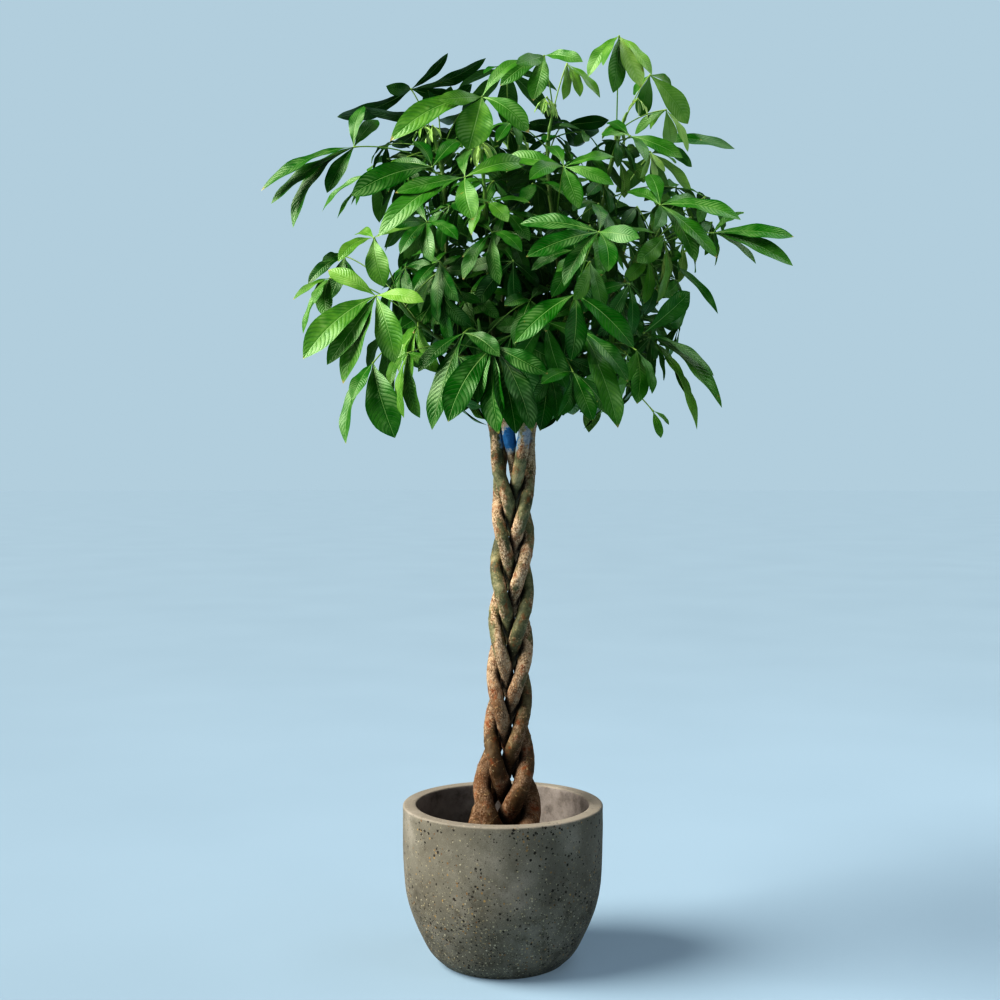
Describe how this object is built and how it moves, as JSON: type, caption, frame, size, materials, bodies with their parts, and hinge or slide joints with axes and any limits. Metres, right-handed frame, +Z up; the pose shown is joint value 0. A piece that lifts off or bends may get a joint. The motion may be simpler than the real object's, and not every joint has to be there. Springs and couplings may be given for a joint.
{
  "type": "potted money tree",
  "caption": "House plant with a braided woody trunk, a wide crown of hand-shaped leaves, and a rounded speckled concrete pot.",
  "frame": {"origin": "middle of the pot's flat base", "axes": "+Z up along the trunk, +X to the viewer's right and +Y away from the viewer"},
  "size_m": [0.8902, 0.7514, 1.5998],
  "materials": {
    "concrete": "matte",
    "soil": "matte",
    "bark": "matte",
    "leaf": "satin"
  },
  "bodies": {
    "root": {"pot": "concrete", "soil": "soil", "trunk_stem_1": "bark", "trunk_stem_2": "bark", "trunk_stem_3": "bark", "trunk_stem_4": "bark", "trunk_stem_5": "bark", "shoot_upper_left": "leaf", "shoot_upper_front_left": "leaf", "shoot_low_front_left": "leaf", "shoot_low_front": "leaf", "shoot_front_right": "leaf", "shoot_low_right": "leaf", "shoot_right": "leaf", "shoot_upper_right": "leaf", "shoot_top": "leaf", "shoot_back_left": "leaf", "shoot_back_top": "leaf", "shoot_back_right": "leaf", "shoot_low_back": "leaf", "shoot_low_back_left": "leaf", "shoot_low_back_right": "leaf"}
  },
  "joints": []
}
